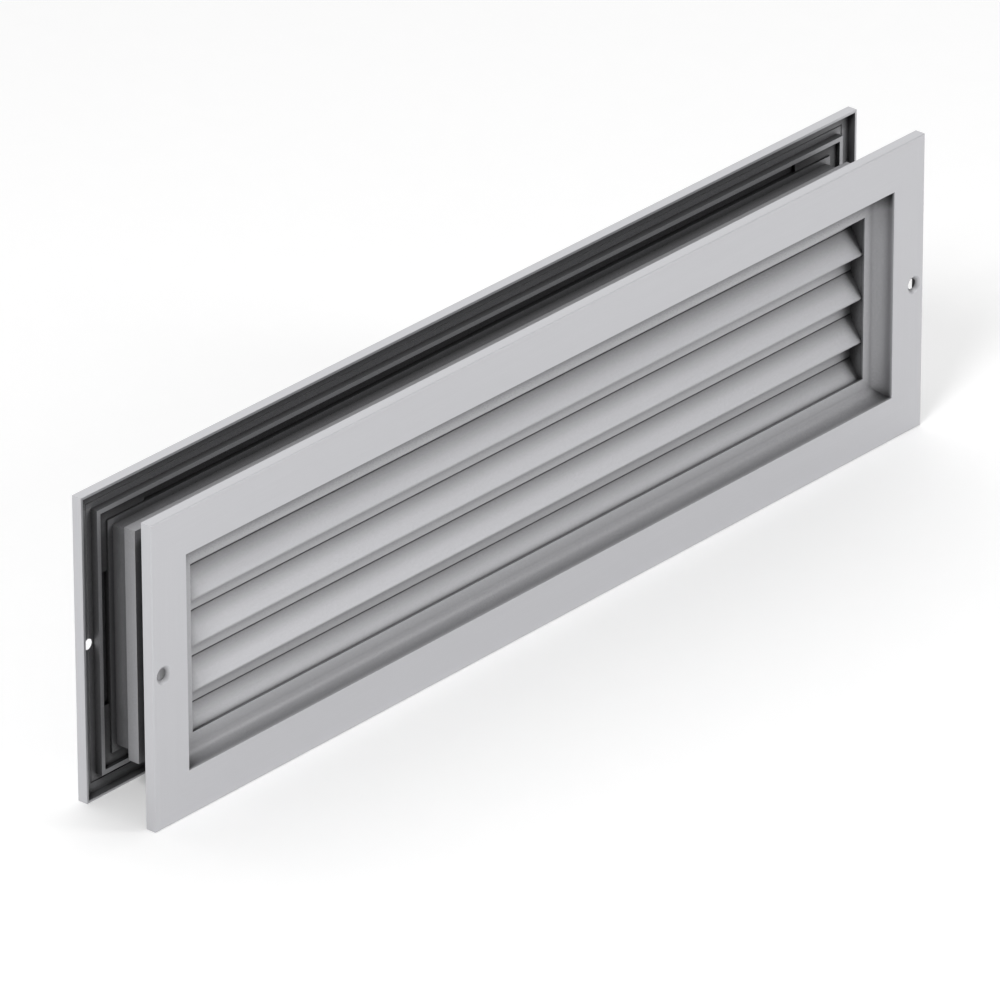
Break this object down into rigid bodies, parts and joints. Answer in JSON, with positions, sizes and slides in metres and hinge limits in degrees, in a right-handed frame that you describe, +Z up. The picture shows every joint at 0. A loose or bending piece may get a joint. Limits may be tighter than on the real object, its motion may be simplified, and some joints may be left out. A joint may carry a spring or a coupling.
{
  "type": "door louvre",
  "caption": "Aluminium transfer grille for a door: mitred front frame with vision-proof inverted-Y blades and a telescoping counter-frame that clamps the door leaf.",
  "frame": {"origin": "centre of the door's cut-out, in the plane where the front flange seats on the door", "axes": "+X along the width, +Y from the room through the door, +Z up"},
  "size_m": [0.6, 0.0528, 0.17],
  "materials": {
    "frame_profile": "natural anodised, satin",
    "blade_profile": "natural anodised, satin",
    "carrier_channel": "mill finish",
    "cleat": "die-cast, matte"
  },
  "bodies": {
    "grille": {"front_bottom_rail": "frame_profile", "front_top_rail": "frame_profile", "front_left_stile": "frame_profile", "front_right_stile": "frame_profile", "front_cleat_bottom_left": "cleat", "front_cleat_bottom_right": "cleat", "front_cleat_top_right": "cleat", "front_cleat_top_left": "cleat", "blade_carrier_left": "carrier_channel", "blade_carrier_right": "carrier_channel", "blade_1": "blade_profile", "blade_2": "blade_profile", "blade_3": "blade_profile", "blade_4": "blade_profile"},
    "counter_frame": {"rear_bottom_rail": "frame_profile", "rear_top_rail": "frame_profile", "rear_left_stile": "frame_profile", "rear_right_stile": "frame_profile", "rear_box_cleat_bottom_left": "cleat", "rear_box_cleat_bottom_right": "cleat", "rear_box_cleat_top_right": "cleat", "rear_box_cleat_top_left": "cleat", "rear_flat_cleat_bottom_left": "cleat", "rear_flat_cleat_bottom_right": "cleat", "rear_flat_cleat_top_right": "cleat", "rear_flat_cleat_top_left": "cleat"}
  },
  "joints": [
    {"name": "counter_frame_slide", "type": "slide", "parent": "grille", "child": "counter_frame", "axis": [0, 1, 0], "range_m": [-0.008, 0.008]}
  ]
}
